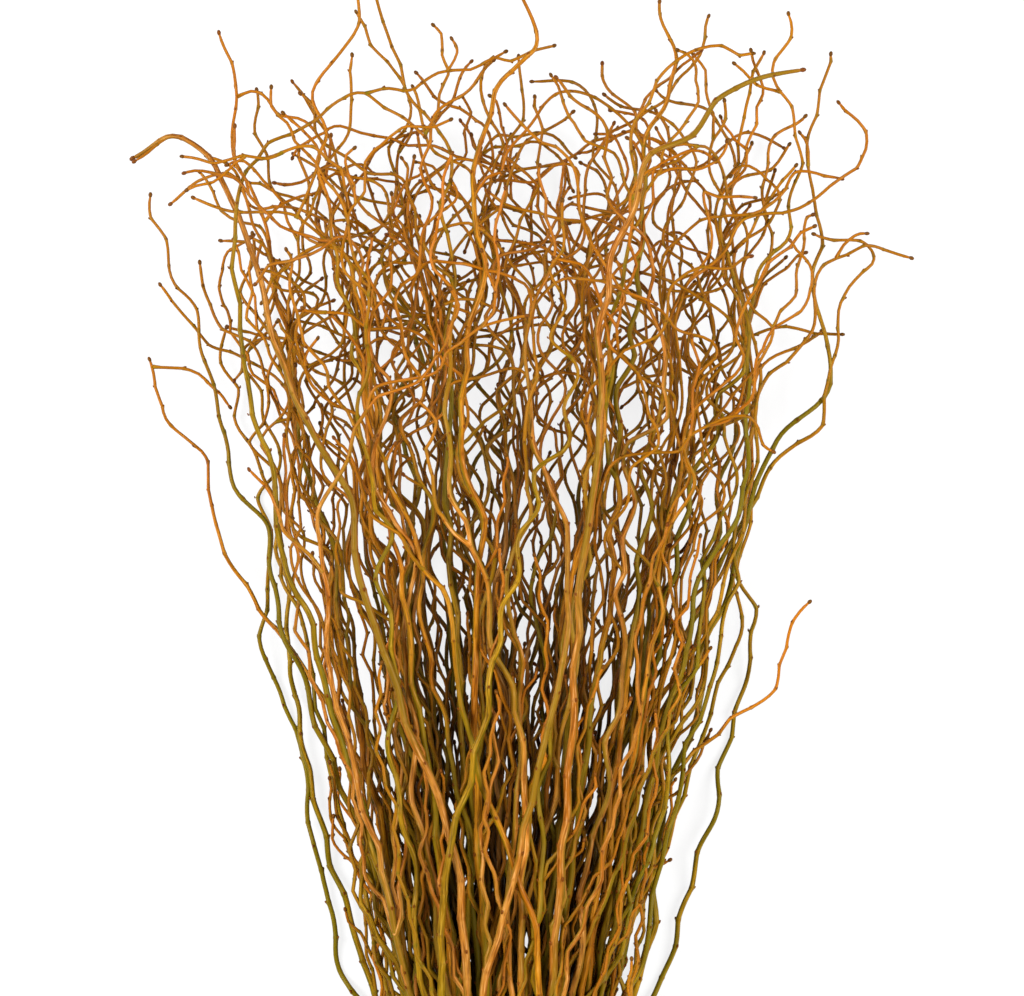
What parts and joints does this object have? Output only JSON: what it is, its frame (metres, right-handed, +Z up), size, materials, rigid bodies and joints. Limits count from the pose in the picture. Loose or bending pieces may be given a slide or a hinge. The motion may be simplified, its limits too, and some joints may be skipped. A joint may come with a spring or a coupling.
{
  "type": "bunch of curly willow stems",
  "caption": "Tied bunch of curly willow stems lying flat, narrow at the tie and fanned out to a tangled crown of thin, curling, budded tips.",
  "frame": {"origin": "on the surface the bunch lies on, under the middle of its bounding box", "axes": "+Y along the bunch from the cut ends to the tips, +X across its fan, +Z up from the surface it lies on"},
  "size_m": [0.6644, 1.2018, 0.2136],
  "materials": {
    "golden_bark": "smooth satin golden orange-brown bark with small dark buds",
    "olive_bark": "smooth satin olive-green to yellow bark with small dark buds",
    "tan_bark": "smooth satin tan to pinkish orange bark with small dark buds",
    "twine": "matt twisted plant-fibre twine"
  },
  "bodies": {
    "root": {"stem_arching_over_left": "tan_bark", "stem_low_left": "olive_bark", "stem_kinked_left": "golden_bark", "stem_upper_left": "olive_bark", "stem_tall_left": "golden_bark", "stem_reaching_left": "golden_bark", "stem_arching_back": "olive_bark", "stem_tall_inner_left": "golden_bark", "stem_tall_centre_left": "olive_bark", "stem_looping_centre": "golden_bark", "stem_pale_diagonal": "tan_bark", "stem_olive_front": "olive_bark", "stem_front_crossing_right": "tan_bark", "stem_front_crossing_left": "golden_bark", "stem_front_middle": "tan_bark", "stem_low_right": "golden_bark", "stem_kinked_right": "olive_bark", "stem_outer_right": "olive_bark", "stem_looping_right": "golden_bark", "stem_hooked_right": "golden_bark", "stem_curled_right": "golden_bark", "stem_tall_outer_right": "olive_bark", "stem_arching_over_right": "tan_bark", "stem_tall_right": "golden_bark", "stem_bending_right": "olive_bark", "stem_01": "olive_bark", "stem_02": "tan_bark", "stem_03": "olive_bark", "stem_04": "golden_bark", "stem_05": "golden_bark", "stem_06": "golden_bark", "stem_07": "olive_bark", "stem_08": "golden_bark", "stem_09": "tan_bark", "stem_10": "olive_bark", "stem_11": "golden_bark", "stem_12": "olive_bark", "stem_13": "golden_bark", "stem_14": "tan_bark", "stem_15": "olive_bark", "stem_16": "golden_bark", "stem_17": "golden_bark", "stem_18": "golden_bark", "stem_19": "golden_bark", "stem_20": "olive_bark", "stem_21": "golden_bark", "stem_22": "tan_bark", "stem_23": "olive_bark", "stem_24": "golden_bark", "stem_25": "tan_bark", "stem_26": "golden_bark", "stem_27": "olive_bark", "stem_28": "golden_bark", "stem_29": "olive_bark", "stem_30": "golden_bark", "stem_31": "olive_bark", "stem_32": "olive_bark", "stem_33": "olive_bark", "twine_tie": "twine"}
  },
  "joints": []
}
